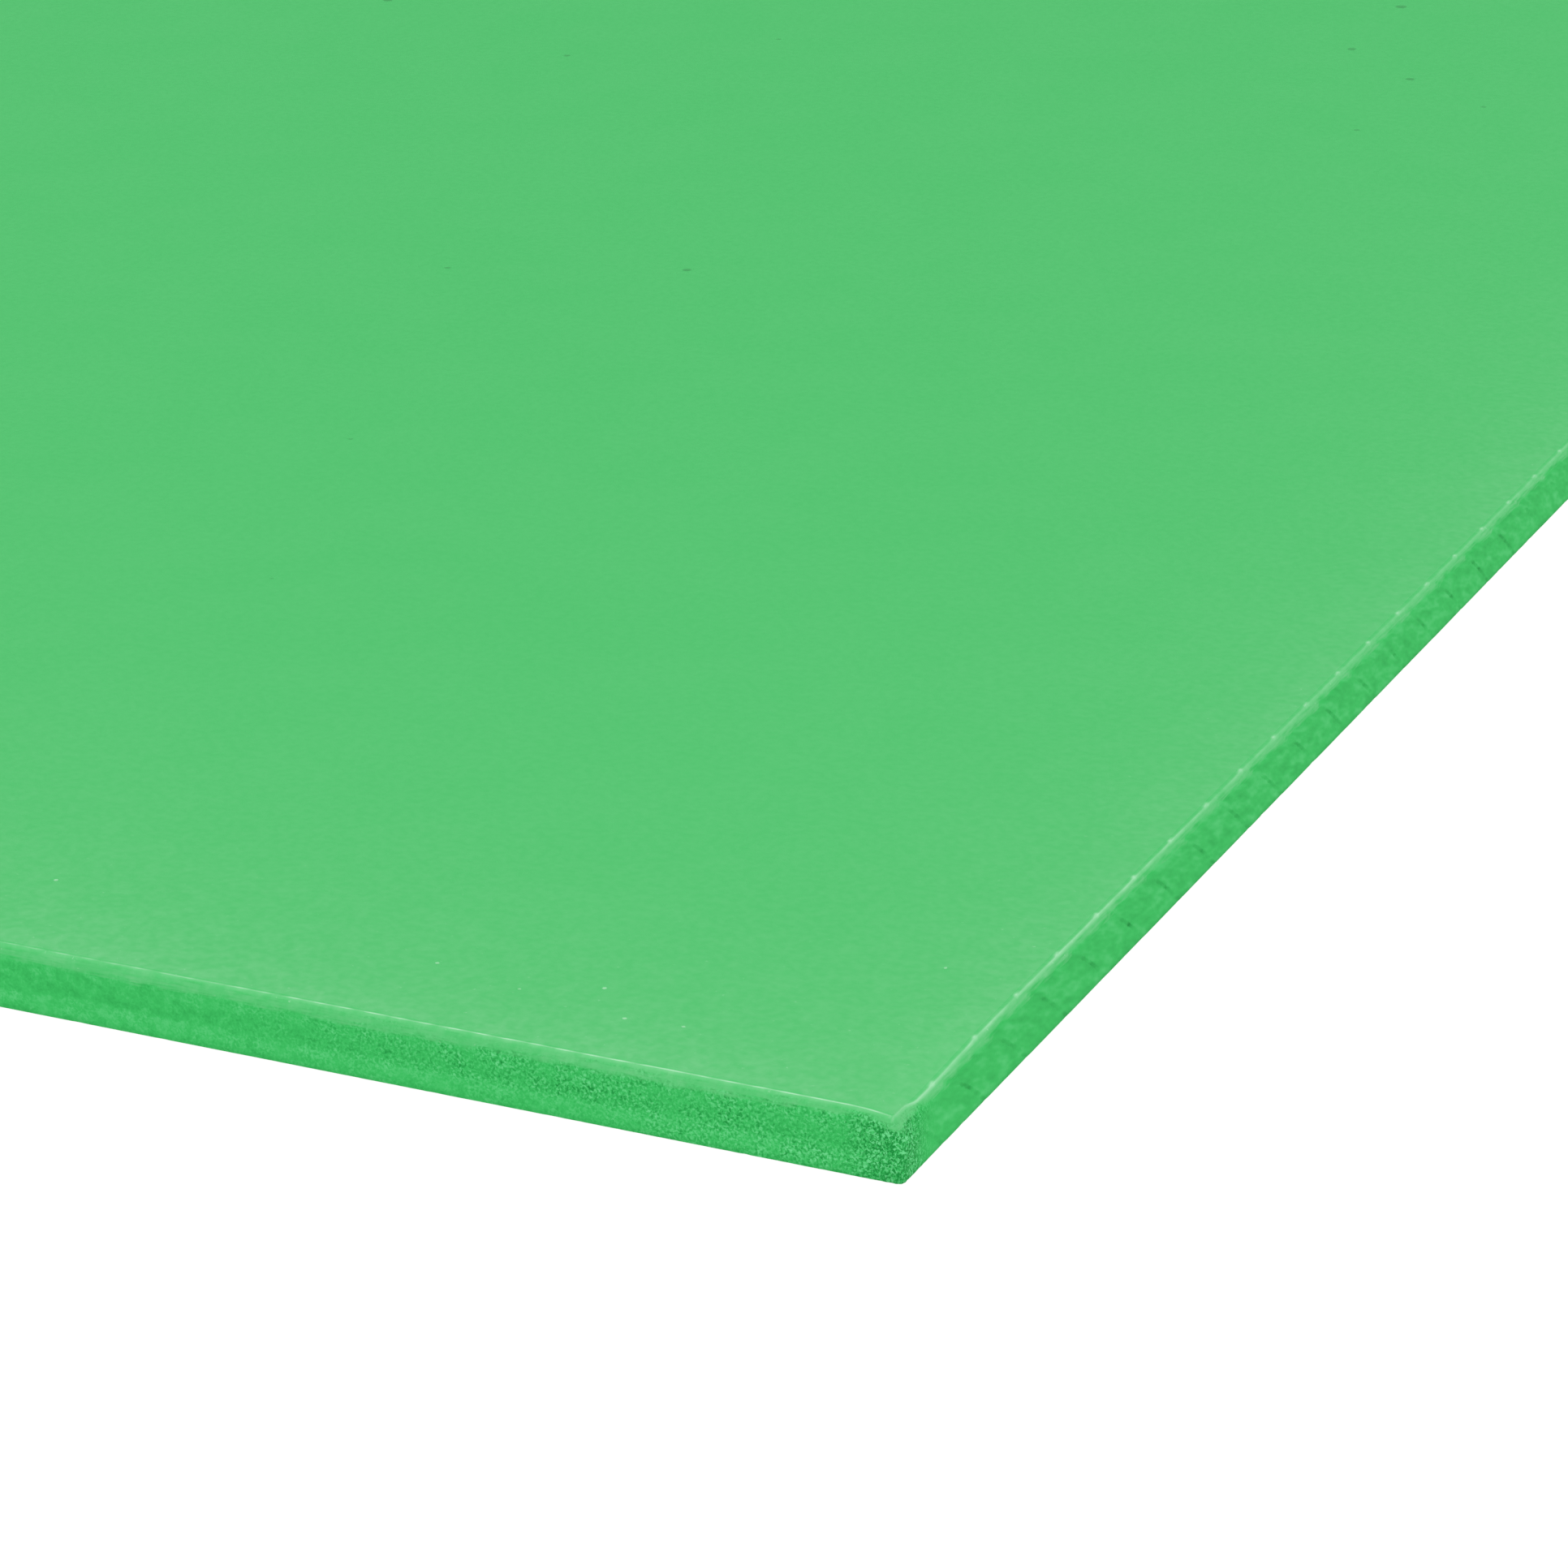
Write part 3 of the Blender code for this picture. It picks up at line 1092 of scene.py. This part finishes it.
# Painted shade along the lower arris
rim_shade = add(cut, "ShaderNodeAttribute", attribute_name="rim_shade", output="Fac")
rim_shade = add(cut, "ShaderNodeMath", [rim_shade, RIM_SHADE_SHARE], operation="MULTIPLY")
colour = add(cut, "ShaderNodeMix", [rim_shade, colour, linear(FOAM_SHADE)], data_type="RGBA")
roughness = add(cut, "ShaderNodeMix", [skin, FOAM_ROUGH, skin_roughness], data_type="FLOAT")
foam_relief = add(cut, "ShaderNodeMath", [tone, FOAM_BUMP_MM], operation="MULTIPLY")
relief = add(cut, "ShaderNodeMix", [skin, foam_relief, skin_relief], data_type="FLOAT")
cut_shader = finish_material(cut_pvc, colour, roughness, relief)
cut_shader.inputs["Specular IOR Level"].default_value = FOAM_GLOSS

# %% [markdown]
# ## The studio
#
# The photo shows the sheet on pure white. A large floor that glows by itself
# stays white up to the horizon and hides the shadow, and a soft sky lights the
# sheet from all sides. The floor lies 0.1 mm below the sheet, and from below it
# is clear, so that the underside can be looked at too.

# %% Floor
# Half a side of the floor, in metres
FLOOR_SIZE = 4.0
FLOOR_GAP = 0.1 * MM
PAPER_GREY = (0.06, 0.06, 0.06, 1)
PAPER_GLOW = 0.98

floor_bm = bmesh.new()
bmesh.ops.create_grid(floor_bm, x_segments=1, y_segments=1, size=FLOOR_SIZE)
bmesh.ops.translate(floor_bm, vec=(0, 0, -FLOOR_GAP), verts=floor_bm.verts)
paper = bpy.data.materials.new("white_paper")
paper.use_nodes = True
paper_shader = paper.node_tree.nodes["Principled BSDF"]
paper_shader.inputs["Base Color"].default_value = PAPER_GREY
paper_shader.inputs["Roughness"].default_value = 1.0
paper_shader.inputs["Specular IOR Level"].default_value = 0.0
paper_shader.inputs["Emission Color"].default_value = (1, 1, 1, 1)
paper_shader.inputs["Emission Strength"].default_value = PAPER_GLOW
from_below = add(paper.node_tree, "ShaderNodeNewGeometry", output="Backfacing")
clear = add(paper.node_tree, "ShaderNodeBsdfTransparent")
white = paper_shader.outputs["BSDF"]
one_sided = add(paper.node_tree, "ShaderNodeMixShader", [from_below, white, clear])
paper.node_tree.links.new(one_sided, paper.node_tree.nodes["Material Output"].inputs["Surface"])
floor = finish_piece(floor_bm, "floor", (paper,))

# %% [markdown]
# The camera stands where the photo's stood. Its place is given from the near
# corner, since that is the one spot of the sheet that the photo shows for sure.

# %% Camera
CAMERA_FROM_CORNER = Vector((126.976, -272.903, 156.731)) * MM
CAMERA_YAW = math.radians(26.312)
CAMERA_PITCH = math.radians(22.966)
CAMERA_ROLL = math.radians(1.593)
LENS_MM = 116.99
SENSOR_MM = 36
NEAREST = 10 * MM

camera = bpy.data.objects.new("camera", bpy.data.cameras.new("camera"))
bpy.context.scene.collection.objects.link(camera)
camera.data.lens = LENS_MM
camera.data.sensor_width = SENSOR_MM
camera.data.clip_start = NEAREST
near_corner = Vector((width / 2, -length / 2, 0))
camera.matrix_world = (
    Matrix.Translation(near_corner + CAMERA_FROM_CORNER)
    @ Matrix.Rotation(CAMERA_YAW, 4, "Z")
    @ Matrix.Rotation(math.pi / 2 - CAMERA_PITCH, 4, "X")
    @ Matrix.Rotation(-CAMERA_ROLL, 4, "Z")
)
bpy.context.scene.camera = camera
print("camera:", [round(value / MM) for value in camera.matrix_world.translation], "mm")

# %% [markdown]
# The sky is a white dome, brighter overhead than at the horizon. Straight
# behind the sheet it is dimmer, because the satin skin mirrors that part at
# the camera, and in the photo the far skin isn't pale.

# %% Light
SKY_LOW, SKY_HIGH = 0.6, 1.6
# The dimmer part: its brightness, its height above the horizon, and how far from
# its middle it ends and is fully dim
BACK_SHADE = 0.12
BACK_HEIGHT = math.radians(4)
BACK_END, BACK_FULL = math.radians(60), math.radians(5)

world = bpy.data.worlds.new("studio")
world.use_nodes = True
sky = world.node_tree
background = sky.nodes["Background"]
direction = add(sky, "ShaderNodeTexCoord", output="Generated")
height = add(sky, "ShaderNodeSeparateXYZ", [direction], output="Z")
brightness = add(sky, "ShaderNodeMapRange", [height, 0.0, 1.0, SKY_LOW, SKY_HIGH])
level = Vector((-math.sin(CAMERA_YAW), math.cos(CAMERA_YAW), 0)) * math.cos(BACK_HEIGHT)
back = level + Vector((0, 0, math.sin(BACK_HEIGHT)))
towards_back = add(
    sky, "ShaderNodeVectorMath", [direction, back], output="Value", operation="DOT_PRODUCT",
)
shade = add(
    sky, "ShaderNodeMapRange",
    [towards_back, math.cos(BACK_END), math.cos(BACK_FULL), 1.0, BACK_SHADE],
    interpolation_type="SMOOTHSTEP",
)
strength = add(sky, "ShaderNodeMath", [brightness, shade], operation="MULTIPLY")
sky.links.new(strength, background.inputs["Strength"])
background.inputs["Color"].default_value = (1, 1, 1, 1)
bpy.context.scene.world = world
bpy.context.scene.view_settings.view_transform = "Standard"
